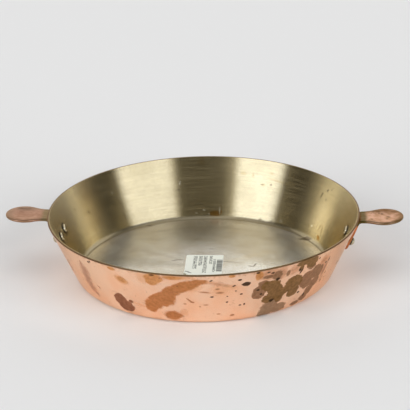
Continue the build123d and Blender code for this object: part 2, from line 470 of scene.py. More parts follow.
def brushing_group():
    """Fine lines that run round the pan, on its wall and on its floor."""
    tree, given, result = new_tree("brushing", "Shader", {
        "Spacing": 0.5, "Length": 40.0}, {"Lines": "Float"})
    x, y, height, reach = round_place(tree)
    out = over(tree, plus(tree, reach, height), given["Spacing"])
    stretch = over(tree, RIM_RADIUS / MM, given["Length"])
    around = over(tree, stretch, plus(tree, reach, AXIS_GAP))
    field = point(tree, times(tree, x, around), times(tree, y, around), out)
    wire(tree, result["Lines"], noise(tree, field, 1.0, detail=4.0, roughness=0.6))
    return tree


def scratch_group():
    """Long thin lines of one lean, broken up, on the unrolled wall or a flat face."""
    tree, given, result = new_tree("scratches", "Shader", {
        "Place": "Vector", "Turn": 0.0, "Spacing": 3.0, "Length": 15.0, "Share": 0.3}, {"Mask": "Float"})
    parts = split(tree, turned(tree, given["Place"], given["Turn"]))
    field = point(tree, over(tree, parts["X"], given["Length"]), over(tree, parts["Y"], given["Spacing"]))
    wave = noise(tree, field, 1.0, detail=2.0)
    line = smooth_step(tree, calc(tree, "ABSOLUTE", minus(tree, wave, 0.5)), 0.012, 0.002)
    where = noise(tree, given["Place"], 0.07, detail=2.0)
    limit = minus(tree, 0.75, times(tree, given["Share"], 0.5))
    wire(tree, result["Mask"], times(tree, line, calc(tree, "GREATER_THAN", where, limit)))
    return tree


def brushing_direction(tree):
    """Direction round the pan, along its brushing."""
    parts = split(tree, coordinates(tree))
    around = point(tree, times(tree, parts["Y"], -1.0), parts["X"])
    return made(tree, "ShaderNodeVectorMath", {0: around}, operation="NORMALIZE")


def new_material(name, metallic=1.0):
    """Material with an empty tree and a Principled shader."""
    material = bpy.data.materials.new(name)
    material.use_nodes = True
    tree = material.node_tree
    tree.nodes.clear()
    shader = tree.nodes.new("ShaderNodeBsdfPrincipled")
    add(tree, "ShaderNodeOutputMaterial", {"Surface": shader.outputs[0]})
    shader.inputs["Metallic"].default_value = metallic
    return material, tree, shader.inputs


def bumped(tree, surface, height, distance):
    """Feed a height to the shader as a bump."""
    bump = made(tree, "ShaderNodeBump", {"Height": height, "Distance": distance, "Strength": 1.0})
    wire(tree, surface["Normal"], bump)


# Stains on the copper wall: azimuth in degrees; height, half length and half width in millimetres;
# softness of the edge; and turn in degrees where it lies askew
RED_BROWN = [(-122, 16.8, 7.4, 7.2, 0.07), (-120.2, 11.2, 8.6, 6.4, 0.07), (-117, 17.8, 2.2, 1.8, 0.35)]
ORANGE_BROWN = [
    (-107.6, 18, 6.4, 7.4, 0.16), (-105, 26, 8, 5.8, 0.16, 35), (-101.5, 27.5, 9.6, 8.6, 0.16, 20),
    (-98.5, 36.5, 10, 6, 0.2, 35), (-94, 42.8, 15, 5.6, 0.2, 24), (-88.6, 48.2, 8, 3.6, 0.25, 10),
    (-99.2, 8.8, 8, 5, 0.22), (-104.7, 20.5, 4.4, 5, 0.2)]
OCHRE = [
    (-104.4, 50.4, 7.8, 5.8, 0.22), (-105.2, 46.4, 5.4, 4, 0.25), (-117.8, 42, 5.6, 3.6, 0.55, -25),
    (-117.2, 41, 3.2, 2, 0.4, -25), (-97.4, 52.8, 8, 2.2, 0.55), (-66.4, 50.2, 3.2, 5, 0.25),
    (-76.4, 53.6, 2.6, 1.6, 0.3), (-120.8, 52.8, 3.6, 1.8, 0.4)]
GOLD_HAZE = [
    (-108.5, 49.5, 5, 6, 0.4), (-85, 48.8, 6, 1.6, 0.5, -10), (-93.5, 53, 10, 1.8, 0.5),
    (-78.5, 41, 9, 3, 0.6, -10), (-36, 45, 6, 4, 0.6), (-33, 30, 5, 9, 0.6),
    (-114.2, 16.8, 6.5, 1.3, 0.9, -12), (-94.4, 13.2, 3.8, 3.8, 0.45), (-90, 41.5, 7.5, 3.2, 0.7, 20),
    (-80.5, 38, 7, 4.5, 0.9, -8)]
RED_HAZE = [
    (-62.5, 49.5, 8, 6, 0.35), (-58, 47.5, 6.5, 7, 0.35), (-52, 48, 5, 5, 0.5), (-36.5, 44, 4, 6, 0.6),
    (-34.5, 36, 4, 8, 0.6), (-81, 45.4, 9.5, 1.5, 0.9, -16)]
DARK_BROWN = [
    (-60.5, 36.2, 9, 6.2, 0.05), (-58, 28, 7.6, 9.4, 0.05), (-60.2, 20.8, 6.6, 4.8, 0.06),
    (-55.2, 22.2, 4.6, 7.6, 0.08, -10), (-53.4, 25.4, 4, 3.6, 0.08), (-50.3, 31, 9.6, 9.6, 0.05),
    (-49, 22, 6.6, 5.8, 0.06, 20), (-47.4, 52.8, 9, 3.8, 0.08), (-43.8, 49.6, 6.2, 5.6, 0.07),
    (-48.7, 47.6, 2.6, 3.4, 0.12)]
MAUVE_BROWN = [
    (-65.2, 30.5, 6.2, 7.8, 0.05), (-64.4, 40.8, 4.4, 2.8, 0.1), (-59, 46.6, 4.2, 5.4, 0.2),
    (-62.6, 47.2, 5, 2, 0.25), (-43.3, 31, 8.2, 8.4, 0.06), (-39.6, 35.2, 7.2, 8.2, 0.07),
    (-42.2, 25.4, 7, 5.8, 0.08), (-36.8, 33, 4.6, 7, 0.14), (-37.2, 23, 6, 6, 0.12),
    (-39, 15.5, 5.4, 5.4, 0.14), (-41, 9.2, 5.4, 4, 0.18), (-45, 5.6, 5.6, 2.2, 0.3),
    (-43, 44.6, 4.4, 3.6, 0.14), (-54.4, 46, 1.8, 3.6, 0.3)]
GREY_BROWN = [
    (-58.9, 10.6, 9.4, 7.8, 0.05), (-54.4, 7.4, 9, 5.4, 0.08), (-60.4, 4.8, 7.4, 4.8, 0.07),
    (-57, 17.2, 8, 4.6, 0.1)]
DARK_SPOTS = [
    (-63, 52.2, 1.3, 0.9, 0.4), (-49.2, 45.4, 1, 1.7, 0.4), (-40.2, 50.6, 0.9, 1.2, 0.4),
    (-34.2, 40.7, 0.9, 1.2, 0.4), (-18.8, 25.7, 1, 2, 0.4), (-70.9, 43, 3.5, 2.4, 0.15),
    (-73.5, 48.6, 1.4, 1, 0.35, 10), (-72.2, 32, 1.1, 0.9, 0.35), (-70.5, 19.7, 0.8, 1.1, 0.35),
    (-65.8, 33.8, 1.5, 1.2, 0.35), (-64.2, 28.4, 1.1, 1, 0.4), (-58.8, 18.4, 2.4, 1.6, 0.3, 10),
    (-45.4, 17.9, 1.5, 1.4, 0.3), (-41.2, 12.3, 1.2, 2, 0.4), (-58.4, 42.1, 2, 1.6, 0.4),
    (-61.3, 50.6, 1.5, 1, 0.35), (-67.1, 53.8, 1.6, 0.9, 0.35), (-48.2, 43.4, 1.1, 2.8, 0.35, -20),
    (-83.4, 31.3, 1.6, 0.8, 0.3), (-83.8, 49.9, 1.5, 0.7, 0.4, 30), (-75.4, 42.4, 1.4, 0.7, 0.4, 30),
    (-74.5, 36.3, 0.8, 0.6, 0.4), (-77.5, 24.3, 1, 0.9, 0.4, 20), (-77.6, 31, 0.7, 0.5, 0.4),
    (-72.2, 19.2, 1.2, 0.7, 0.4), (-104.7, 54, 2, 0.7, 0.4), (-131.9, 51.2, 1, 1.2, 0.4),
    (-130.9, 52.4, 0.8, 0.8, 0.4), (-32.7, 42.5, 0.7, 2, 0.4)]
RUST_MARKS = [
    (-91.9, 27.4, 3.6, 0.8, 0.35, -44), (-90.9, 25.4, 1.9, 0.9, 0.35, -15), (-86, 36.8, 4.4, 0.9, 0.7, -9),
    (-80.4, 35.7, 2.8, 1, 0.8), (-81.3, 40, 1.6, 0.8, 0.8), (-85.7, 22.1, 1.9, 0.6, 0.45),
    (-93.8, 23.1, 1.4, 0.6, 0.45), (-75, 8.3, 2.2, 1, 0.4), (-80.6, 10.8, 1.8, 0.6, 0.5),
    (-88, 20, 1, 0.5, 0.5), (-30.4, 26.5, 1, 1.5, 0.4), (-31.7, 19.2, 1, 2, 0.4)]
LONG_STREAK = [
    (-137.6, 37.4, 6, 5, 0.6, 68), (-138.6, 29.8, 5.6, 5.4, 0.6, 72), (-138.8, 23.2, 5.2, 5, 0.6, 98),
    (-138.2, 17, 4.8, 4.2, 0.6, 120), (-137, 13.6, 3.6, 2.4, 0.6, 144), (-138, 44, 4, 1.6, 0.6, 75),
    (-153, 28, 7.5, 2.6, 0.6, 90), (-132.8, 22.9, 2, 1, 0.5, -30), (-33, 33, 8.5, 1.8, 0.6, 88)]

# Their colours where dark and where light, and how strongly they cover, from the lowest to the topmost
COPPER_STAINS = [
    (GOLD_HAZE, (0.80, 0.40, 0.19), (0.88, 0.50, 0.28), 0.55),
    (RED_HAZE, (0.50, 0.235, 0.125), (0.74, 0.40, 0.24), 0.75),
    (OCHRE, (0.56, 0.225, 0.065), (0.75, 0.365, 0.13), 0.90),
    (ORANGE_BROWN, (0.47, 0.18, 0.055), (0.60, 0.25, 0.09), 0.94),
    (LONG_STREAK, (0.40, 0.19, 0.125), (0.54, 0.29, 0.20), 0.80),
    (RED_BROWN, (0.25, 0.088, 0.045), (0.37, 0.16, 0.088), 0.96),
    (GREY_BROWN, (0.32, 0.192, 0.113), (0.42, 0.27, 0.163), 0.92),
    (MAUVE_BROWN, (0.25, 0.13, 0.065), (0.37, 0.20, 0.11), 0.94),
    (DARK_BROWN, (0.185, 0.098, 0.03), (0.30, 0.165, 0.062), 0.96),
    (RUST_MARKS, (0.36, 0.15, 0.07), (0.50, 0.22, 0.10), 0.85),
    (DARK_SPOTS, (0.03, 0.018, 0.01), (0.06, 0.03, 0.018), 0.95),
]

# Middle of the unrolled wall, and the distance from the axis, in mm, at which it is true to size
FRONT, BACK = -90.0, 90.0
UNROLL_REACH = 125.0

# Copper wall: the browned band under the rim, ragged by a cloud, and the rim's edge with its dark
# outer line, by height and by distance from the axis, in mm
TOP_HAZE_HEIGHTS = (60.0, 66.0)
TOP_HAZE_RAGGED = 16.0
RIM_EDGE_HEIGHTS = (54.7, 55.3)
RIM_EDGE_REACHES = (138.35, 138.75)
COPPER = ((0.99, 0.615, 0.408), (1.0, 0.69, 0.497))
TOP_HAZE_COLOUR = (0.50, 0.22, 0.10)
COPPER_SPECK_COLOUR = (0.16, 0.06, 0.03)
SCRATCH_COLOUR = (0.42, 0.17, 0.09)
RIM_COLOURS = ((0.27, 0.21, 0.115), (0.13, 0.075, 0.03))
COPPER_SHEEN = (0.98, 0.86, 0.74)
COPPER_ROUGHNESS = (0.22, 0.42)  # bright, and tarnished
COPPER_BRUSHING_DEPTH = 0.02 * MM

# Marks inside the wall, given like the copper's stains; the sheen and the glints among them are painted
# highlights
LINING_GOLD = [(88.4, 6.4, 6.2, 2.4, 0.3), (28.4, 7.6, 3, 1.7, 0.3, 20), (86, 8, 1.6, 1.6, 0.4)]
LINING_TINGE = [
    (72.6, 42.2, 0.9, 2, 0.5), (76.8, 42.8, 2.6, 1.5, 0.6), (86, 11, 1.3, 3.6, 0.4),
    (28, 14.5, 0.9, 4.2, 0.5, -20), (30.2, 15.5, 0.8, 4, 0.5, 15), (94.5, 52, 3.2, 3.6, 0.6),
    (64.5, 45.8, 2.2, 1, 0.6), (67.5, 34.8, 2.2, 1.2, 0.6), (60, 40, 12, 0.8, 0.6, 6)]
LINING_HAZE = [(172, 40, 34, 34, 0.6), (150, 50, 16, 10, 0.8, 10)]
LINING_PAINTED_HIGHLIGHT = [(31, 20, 14, 14, 0.8)]
LINING_AMBER = [(148.5, 34, 14, 26, 0.7)]
LINING_MARKS = [
    (63.9, 36, 1.2, 0.8, 0.5), (68, 35, 1.6, 0.5, 0.5), (31.7, 49.1, 0.8, 0.8, 0.4),
    (33, 39, 0.9, 0.9, 0.4), (36.6, 41, 0.7, 2.8, 0.4, 15), (60.2, 5.2, 1.8, 0.8, 0.4),
    (66, 4.8, 2, 0.8, 0.4), (34, 47, 1, 1.2, 0.5), (104.7, 28.5, 0.8, 0.6, 0.4), (160, 39, 1.2, 1, 0.5),
    (152, 30, 1.4, 1.2, 0.5)]
LINING_PAINTED_GLINTS = [
    (135.7, 36.9, 1.1, 1.1, 0.3), (93.7, 9.4, 1.6, 0.8, 0.3, 10), (97.5, 7, 1.4, 0.6, 0.3),
    (91.4, 6, 0.8, 0.7, 0.3), (104, 34, 0.6, 2, 0.4, 20), (86.4, 9, 0.8, 3, 0.5), (36, 13.5, 1.2, 0.9, 0.5),
    (55, 7.5, 1.6, 1.2, 0.6)]

# Their colours and how strongly they cover, from the lowest to the topmost
LINING_STAINS = [
    (LINING_HAZE, (0.30, 0.255, 0.17), 0.70),
    # painted highlight
    (LINING_PAINTED_HIGHLIGHT, (0.95, 0.80, 0.50), 0.55),
    (LINING_AMBER, (0.33, 0.22, 0.075), 0.50),
    (LINING_TINGE, (0.48, 0.36, 0.16), 0.6),
    (LINING_GOLD, (0.46, 0.25, 0.05), 0.9),
    (LINING_MARKS, (0.14, 0.10, 0.05), 0.6),
    # painted glints
    (LINING_PAINTED_GLINTS, (1.0, 0.92, 0.70), 0.8),
]

# Lining: heights where the floor turns into the wall, the painted shade in the bend between them by its
# height and by how far its faces look up, with two blurs, and the rings towards the floor's edge, in mm
WALL_FOOT_HEIGHTS = (2.6, 5.0)
BEND_TOP_HEIGHTS = (12.0, 9.0)
BEND_UPWARDNESS = (0.60, 0.985, 0.14, 0.014)
RING_REACHES = (66.0, 92.0)
STEEL_WALL = ((0.49, 0.402, 0.215), (0.66, 0.548, 0.312))
STEEL_FLOOR = ((0.87, 0.82, 0.71), (1.0, 0.98, 0.91))
WORN_COLOUR = (0.50, 0.44, 0.33)
GRAIN_COLOUR = (0.33, 0.26, 0.15)
BEND_SHADE_COLOUR = (0.37, 0.295, 0.155)
FLOOR_REFLECTION_SHADE_COLOUR = (0.30, 0.27, 0.20)
FLOOR_MARK_COLOUR = (0.14, 0.095, 0.05)
SEAT_DIRT_AND_SHADE_COLOUR = (0.07, 0.05, 0.022)
STEEL_SPECK_COLOUR = (0.22, 0.16, 0.08)
STEEL_SHEEN = (0.95, 0.90, 0.80)
STEEL_ROUGHNESS = (0.22, 0.27)  # floor, and wall
GLEAM_STRETCH = (0.75, 1.0)  # as drawn out by the brushing on the floor, and on the wall
GLEAM_TURN = 0.25  # a quarter turn, from along the brushing to across it
LINING_BRUSHING_DEPTH = 0.015 * MM

# Dark rounds under the rivets' ends, dirt in the crevice and painted shade, by degrees from the middle of the
# handle
SEAT_SWING = 4.42
SEAT_RADIUS = 5.4
RIVET_SEAT_DIRT_AND_SHADE = [(azimuth, RIVET_HEIGHT / MM, SEAT_RADIUS, SEAT_RADIUS, 0.14)
               for azimuth in (-SEAT_SWING, SEAT_SWING, 180 - SEAT_SWING, SEAT_SWING - 180)]

# On the pan's floor, with X and Y in place of azimuth and height: dark marks, a worn round and a painted dark
# reflection
FLOOR_MARKS = [
    (92.4, 64.5, 8.2, 3.2, 0.2, -8), (-57.8, 93.5, 2.6, 1.2, 0.5), (-28, 13.5, 2.4, 0.8, 0.6, 10),
    (-24, 15.5, 3.2, 0.5, 0.6), (59.2, 104, 2.4, 0.9, 0.5), (45.5, 5, 0.7, 3.2, 0.7, -20),
    (42, 1.8, 2.8, 0.7, 0.7, -15), (16, 12, 14, 0.5, 0.5, -8), (-12, 62, 3, 0.7, 0.5, 20),
    (4, 40, 2.2, 0.7, 0.5, -10)]
FLOOR_WORN = [(-15, -20, 45, 48, 0.6)]
FLOOR_REFLECTION_SHADE = [(-12, 92, 22, 34, 0.7)]

# Dents on top of the right handle, given like the floor's marks
HANDLE_DENTS = [
    (151.6, 9.6, 1.2, 1.8, 0.4), (155.8, 11, 1.8, 1.6, 0.4), (159.4, 6.2, 1.2, 1.6, 0.5),
    (156.8, 7.4, 0.8, 1.3, 0.6), (165, -0.8, 1.5, 2.2, 0.5, 30), (163.9, -5.4, 1.1, 1.6, 0.5),
    (150.4, -7.4, 1.2, 1.2, 0.6), (169.5, 9, 3, 1.2, 0.8, -20)]

# Handles, in mm: dark edges, partly tarnish and partly painted shade, by distance from the paddle's centre
# and from the neck's middle line, the painted shade on the far side by Y, and the painted shade on the tip,
# the neck's end and the painted shade at the root by the rim, by distance from the pan's axis
PADDLE_CENTRE = 161.4
PADDLE_EDGE = (12.5, 17.0)
NECK_EDGE = (8.5, 12.0)
EDGE_WANDER = 6.0
STEEP_UPWARDNESS = (0.95, 0.75)
BACK_SHADE = (4.0, 14.0)
TIP_SHADE_REACHES = (167.0, 177.0)
NECK_END_REACHES = (150.0, 156.0)
ROOT_SHADE_REACHES = (147.5, 143.5)
FLANGE_TOP_HEIGHTS = (46.5, 48.5)
FLANGE_COLOUR = (0.50, 0.185, 0.075)
PIT_COLOUR = (0.14, 0.07, 0.03)
DENT_COLOUR = (0.20, 0.11, 0.05)
CAST_SHEEN = (0.98, 0.84, 0.70)
CAST_ROUGHNESS = (0.26, 0.46)
CASTING_RELIEF = 0.12 * MM


def stains_mask(tree, groups, place, stains, ragged):
    """Greatest mask of a list of stains on a flat place in millimetres."""
    total = 0.0
    for x, y, length, width, softness, *turn in stains:
        angle = math.radians(turn[0]) if turn else 0.0
        lean, rise = math.cos(angle), math.sin(angle)
        one = use(tree, groups["blob"], {
            "Place": place, "Centre": (x, y, 0), "Along": (lean / length, rise / length, 0),
            "Across": (-rise / width, lean / width, 0), "Ragged": ragged, "Softness": softness})
        total = most(tree, total, one)
    return total


def unrolled_wall(tree, groups, middle):
    """Place on the wall unrolled flat on both sides of an azimuth."""
    return use(tree, groups["wall_place"], {"Middle": middle, "Reach": UNROLL_REACH})


def wall_stains_mask(tree, groups, flat, stains, middle, ragged):
    """Greatest mask of a list of stains given by azimuth, on the unrolled wall."""
    laid_out = []
    for azimuth, *rest in stains:
        swing = (azimuth - middle + 180) % 360 - 180
        laid_out.append([math.radians(swing) * UNROLL_REACH, *rest])
    return stains_mask(tree, groups, flat, laid_out, ragged)


def rough_edge(tree, scale, amount):
    """Noise round zero that makes a stain's edge ragged."""
    cloud = noise(tree, place_in_mm(tree), scale, detail=5.0, roughness=0.65)
    return times(tree, minus(tree, cloud, 0.5), amount)


def shell_material(groups):
    """Polished copper with the brown stains of use."""
    material, tree, surface = new_material("polished_copper")
    place = place_in_mm(tree)
    height, reach = round_place(tree)[2:]
    cloud = noise(tree, place, 0.035)
    fine_cloud = noise(tree, place, 0.35, detail=4.0, roughness=0.6)
    ragged = rough_edge(tree, 0.2, 0.95)
    flat = unrolled_wall(tree, groups, FRONT)
    colour = mix_colour(tree, smooth_step(tree, cloud, 0.38, 0.62), *COPPER)
    ragged_height = calc(tree, "MULTIPLY_ADD", fine_cloud, TOP_HAZE_RAGGED, height)
    haze = smooth_step(tree, ragged_height, *TOP_HAZE_HEIGHTS)
    colour = stained(tree, colour, haze, 0.55, TOP_HAZE_COLOUR)
    mottle = smooth_step(tree, fine_cloud, 0.32, 0.68)
    tarnish = 0.0
    for stains, dark, light, strength in COPPER_STAINS:
        share = times(tree, wall_stains_mask(tree, groups, flat, stains, FRONT, ragged), strength)
        colour = mix_colour(tree, share, colour, mix_colour(tree, mottle, dark, light))
        tarnish = most(tree, tarnish, share)
    for cell, size, share in ((7.0, 0.6, 0.35), (3.2, 0.32, 0.18)):
        specks = use(tree, groups["specks"], {"Cell": cell, "Size": size, "Share": share})
        colour = stained(tree, colour, specks, 0.75, COPPER_SPECK_COLOUR)
    for turn, share in ((15.0, 0.3), (-60.0, 0.25)):
        scratch = use(tree, groups["scratches"], {
            "Place": flat, "Turn": turn, "Spacing": 5.0, "Length": 26.0, "Share": share})
        colour = stained(tree, colour, scratch, 0.5, SCRATCH_COLOUR)
    rim = smooth_step(tree, height, *RIM_EDGE_HEIGHTS)
    outer_edge = smooth_step(tree, reach, *RIM_EDGE_REACHES)
    colour = stained(tree, colour, rim, 0.92, mix_colour(tree, outer_edge, *RIM_COLOURS))
    wire(tree, surface["Base Color"], colour)
    wire(tree, surface["Specular Tint"], COPPER_SHEEN)
    wire(tree, surface["Roughness"], spread(tree, most(tree, tarnish, rim), *COPPER_ROUGHNESS))
    lines = use(tree, groups["brushing"], {"Spacing": 0.8, "Length": 60.0})
    bumped(tree, surface, lines, COPPER_BRUSHING_DEPTH)
    return material


def lining_material(groups):
    """Steel lining: brushed round the wall, worn and cloudy on the floor, with painted shade, reflections and
    highlights.
    """
    material, tree, surface = new_material("brushed_lining")
    place = place_in_mm(tree)
    x, y, height, reach = round_place(tree)
    wall = smooth_step(tree, height, *WALL_FOOT_HEIGHTS)
    fine, broad, rings = [use(tree, groups["brushing"], {"Spacing": spacing, "Length": length})
                          for spacing, length in ((0.5, 50.0), (0.9, 34.0), (6.0, 110.0))]
    lines = plus(tree, times(tree, fine, 0.5), times(tree, broad, 0.5))
    streaks = smooth_step(tree, broad, 0.42, 0.66)
    cloud = noise(tree, place, 0.03)
    shade = smooth_step(tree, plus(tree, times(tree, cloud, 0.4), times(tree, lines, 0.6)), 0.36, 0.64)
    wall_colour = mix_colour(tree, shade, *STEEL_WALL)
    swirl = smooth_step(tree, noise(tree, place, 0.035, detail=6.0, roughness=0.7), 0.38, 0.60)
    floor_colour = mix_colour(tree, swirl, *STEEL_FLOOR)
    outer_rings = times(tree, smooth_step(tree, rings, 0.48, 0.62), smooth_step(tree, reach, *RING_REACHES))
    worn = most(tree, times(tree, shade, 0.12), times(tree, outer_rings, 0.27))
    level = point(tree, x, y)
    worn = most(tree, worn, times(tree, stains_mask(tree, groups, level, FLOOR_WORN, 0.0), 0.42))
    floor_colour = mix_colour(tree, worn, floor_colour, WORN_COLOUR)
    colour = mix_colour(tree, wall, floor_colour, wall_colour)
    grain = smooth_step(tree, noise(tree, place, 0.45, detail=5.0, roughness=0.7), 0.35, 0.65)
    colour = stained(tree, colour, grain, 0.16, GRAIN_COLOUR)
    # painted shade in the bend between the floor and the wall
    bend = window(tree, upwardness(tree), *BEND_UPWARDNESS)
    corner = times(tree, bend, smooth_step(tree, height, *BEND_TOP_HEIGHTS))
    colour = stained(tree, colour, corner, 0.85, BEND_SHADE_COLOUR)
    ragged = rough_edge(tree, 0.6, 1.0)
    flat = unrolled_wall(tree, groups, BACK)
    for stains, paint, strength in LINING_STAINS:
        mask = wall_stains_mask(tree, groups, flat, stains, BACK, ragged)
        colour = stained(tree, colour, mask, strength, paint)
    on_floor = minus(tree, 1.0, wall)
    # painted dark reflection of the wall's dark band, on the floor's far middle
    reflection_shade = times(tree, stains_mask(tree, groups, level, FLOOR_REFLECTION_SHADE, 0.0), on_floor)
    colour = stained(tree, colour, reflection_shade, 0.66, FLOOR_REFLECTION_SHADE_COLOUR)
    marks = times(tree, stains_mask(tree, groups, level, FLOOR_MARKS, ragged), on_floor)
    colour = stained(tree, colour, marks, 0.75, FLOOR_MARK_COLOUR)
    # dirt and painted shade around the rivets' ends
    seat_dirt_and_shade = wall_stains_mask(tree, groups, flat, RIVET_SEAT_DIRT_AND_SHADE, BACK, 0.0)
    colour = stained(tree, colour, seat_dirt_and_shade, 0.9, SEAT_DIRT_AND_SHADE_COLOUR)
    specks = use(tree, groups["specks"], {"Cell": 7.0, "Size": 0.5, "Share": 0.35})
    colour = stained(tree, colour, specks, 0.5, STEEL_SPECK_COLOUR)
    wire(tree, surface["Base Color"], colour)
    dull = spread(tree, wall, 0.18, times(tree, streaks, 0.09))
    wire(tree, surface["Metallic"], minus(tree, 1.0, dull))
    wire(tree, surface["Specular Tint"], STEEL_SHEEN)
    wire(tree, surface["Roughness"], spread(tree, wall, *STEEL_ROUGHNESS))
    wire(tree, surface["Anisotropic"], spread(tree, wall, *GLEAM_STRETCH))
    surface["Anisotropic Rotation"].default_value = GLEAM_TURN
    wire(tree, surface["Tangent"], brushing_direction(tree))
    bumped(tree, surface, lines, LINING_BRUSHING_DEPTH)
    return material


def handle_material(groups, name, light, dark, painted_shade_colour, edge_tarnish_and_shade, edge_share, root_shade_colour, spots, dents):
    """Cast copper, mottled, dark along its edges with tarnish and painted shade, with painted shade on its
    far side, tip and at the rim, and a little pitted.
    """
    material, tree, surface = new_material(name)
    place = place_in_mm(tree)
    x, y, height, reach = round_place(tree)
    stretched = made(tree, "ShaderNodeVectorMath", {0: place, 1: (0.7, 1.0, 1.0)}, operation="MULTIPLY")
    cloud = noise(tree, stretched, 0.22, detail=4.0, roughness=0.6)
    colour = mix_colour(tree, smooth_step(tree, cloud, 0.34, 0.66), light, dark)
    wander = times(tree, minus(tree, cloud, 0.5), EDGE_WANDER)
    steep = smooth_step(tree, upwardness(tree), *STEEP_UPWARDNESS)
    from_centre = hypotenuse(tree, minus(tree, calc(tree, "ABSOLUTE", x), PADDLE_CENTRE), y)
    round_edge = smooth_step(tree, plus(tree, from_centre, wander), *PADDLE_EDGE)
    neck_edge = smooth_step(tree, plus(tree, calc(tree, "ABSOLUTE", y), wander), *NECK_EDGE)
    near_edge = spread(tree, smooth_step(tree, reach, *NECK_END_REACHES), neck_edge, round_edge)
    # painted shade on the handle's far side
    colour = mix_colour(tree, smooth_step(tree, plus(tree, y, wander), *BACK_SHADE), colour, painted_shade_colour)
    # painted shade on the tip, where the dish reflects dark surroundings
    tip = smooth_step(tree, plus(tree, reach, wander), *TIP_SHADE_REACHES)
    colour = stained(tree, colour, tip, 0.85, painted_shade_colour)
    # dark edges: tarnish, with painted shade on the steep sides
    edge = most(tree, times(tree, near_edge, 0.75), steep)
    top = smooth_step(tree, height, *FLANGE_TOP_HEIGHTS)
    edge = times(tree, edge, top)
    colour = stained(tree, colour, edge, edge_share, edge_tarnish_and_shade)
    # painted shade at the root, in the bend by the rim
    root = times(tree, smooth_step(tree, plus(tree, reach, wander), *ROOT_SHADE_REACHES), top)
    colour = stained(tree, colour, root, 0.92, root_shade_colour)
    colour = mix_colour(tree, top, FLANGE_COLOUR, colour)
    pits = use(tree, groups["specks"], {"Cell": 4.5, "Size": 0.7, "Share": 0.45})
    colour = stained(tree, colour, pits, spots, PIT_COLOUR)
    dent = times(tree, stains_mask(tree, groups, point(tree, x, y), dents, rough_edge(tree, 0.8, 0.9)), top)
    colour = stained(tree, colour, dent, 0.75, DENT_COLOUR)
    wire(tree, surface["Base Color"], colour)
    wire(tree, surface["Specular Tint"], CAST_SHEEN)
    wire(tree, surface["Roughness"], spread(tree, cloud, *CAST_ROUGHNESS))
    grain = noise(tree, place, 0.9, detail=2.0)
    wave = noise(tree, place, 0.14, detail=1.0)
    relief = plus(tree, grain, times(tree, wave, 5.0))
    bumped(tree, surface, minus(tree, relief, times(tree, pits, 1.5)), CASTING_RELIEF)
    return material


# Rivets: dark seat, a dark joint with painted shade, bright head and its duller crown, by how high a point
# lies on the head
RIVET_COLOURS = ((0.05, 0.038, 0.015), (0.68, 0.60, 0.42))
CROWN_COLOUR = (0.30, 0.25, 0.15)
SEAT_RISE = (0.15, 0.60)
CROWN_RISE = (0.93, 0.99)
RIVET_ROUGHNESS = 0.25


def rivet_material():
    """Bright rivet heads, dark in the corner where they seat, with a dark joint and painted shade."""
    material, tree, surface = new_material("rivet_steel")
    rise = add(tree, "ShaderNodeAttribute", attribute_name="rise").outputs["Fac"]
    # dark joint and painted shade at the seat
    colour = mix_colour(tree, smooth_step(tree, rise, *SEAT_RISE), *RIVET_COLOURS)
    colour = mix_colour(tree, smooth_step(tree, rise, *CROWN_RISE), colour, CROWN_COLOUR)
    wire(tree, surface["Base Color"], colour)
    surface["Roughness"].default_value = RIVET_ROUGHNESS
    return material


# Label print, in millimetres from the label's middle: X from, X to, Y from, Y to. The painted shadow
# under the folded corner, along its fold line, is given like a mark on the floor
LABEL_MIDDLE = (-0.7, -2.2, 0.0)
LABEL_TURN = 0.6
TEXT_COLUMNS = [(-10.2, -6.6, -2.8, 25.5), (-5.4, -1.9, 4.0, 25.5), (-0.9, 2.6, -11.7, 25.5),
                (4.4, 7.2, 7.6, 25.5), (8.0, 10.6, -10.0, 18.9)]
BAR_BLOCK = (11.4, 16.6, -8.5, 17.3)
LABEL_FOLD_SHADOW = (-13.2, -11.6, 4.6, 1.8, 0.30, -48)
PAPER, PRINT_AND_SHADOW_COLOUR = (0.96, 0.98, 0.88), (0.08, 0.08, 0.07)
PAPER_ROUGHNESS = 0.4


def box_mask(tree, parts, box):
    """One inside a rectangle, zero outside."""
    def between(value, low, high):
        return times(tree, calc(tree, "GREATER_THAN", value, low), calc(tree, "LESS_THAN", value, high))

    return times(tree, between(parts["X"], *box[:2]), between(parts["Y"], *box[2:]))


def label_material(groups):
    """Coated paper with generic grey dashes and bars, and a painted shadow under its folded corner."""
    material, tree, surface = new_material("label_paper", metallic=0.0)
    moved = made(tree, "ShaderNodeVectorMath", {0: place_in_mm(tree), 1: LABEL_MIDDLE}, operation="SUBTRACT")
    parts = split(tree, turned(tree, moved, -LABEL_TURN))
    dash_field = point(tree, times(tree, parts["X"], 0.55), parts["Y"])
    dashes = smooth_step(tree, noise(tree, dash_field, 1.1, detail=1.0), 0.47, 0.515)
    columns = 0.0
    for box in TEXT_COLUMNS:
        columns = most(tree, columns, box_mask(tree, parts, box))
    text = times(tree, columns, dashes)
    bars = smooth_step(tree, noise(tree, point(tree, y=parts["Y"]), 0.55, detail=2.0), 0.46, 0.50)
    block = times(tree, box_mask(tree, parts, BAR_BLOCK), spread(tree, bars, 0.45, 1.0))
    print_and_shadow = most(tree, times(tree, text, 0.92), times(tree, block, 0.95))
    # painted shadow under the folded corner, in the print's dark colour
    fold_shadow = stains_mask(tree, groups, point(tree, parts["X"], parts["Y"]), [LABEL_FOLD_SHADOW], 0.0)
    print_and_shadow = most(tree, print_and_shadow, times(tree, fold_shadow, 0.9))
    wire(tree, surface["Base Color"], mix_colour(tree, print_and_shadow, PAPER, PRINT_AND_SHADOW_COLOUR))
    surface["Roughness"].default_value = PAPER_ROUGHNESS
    return material


# Pieces

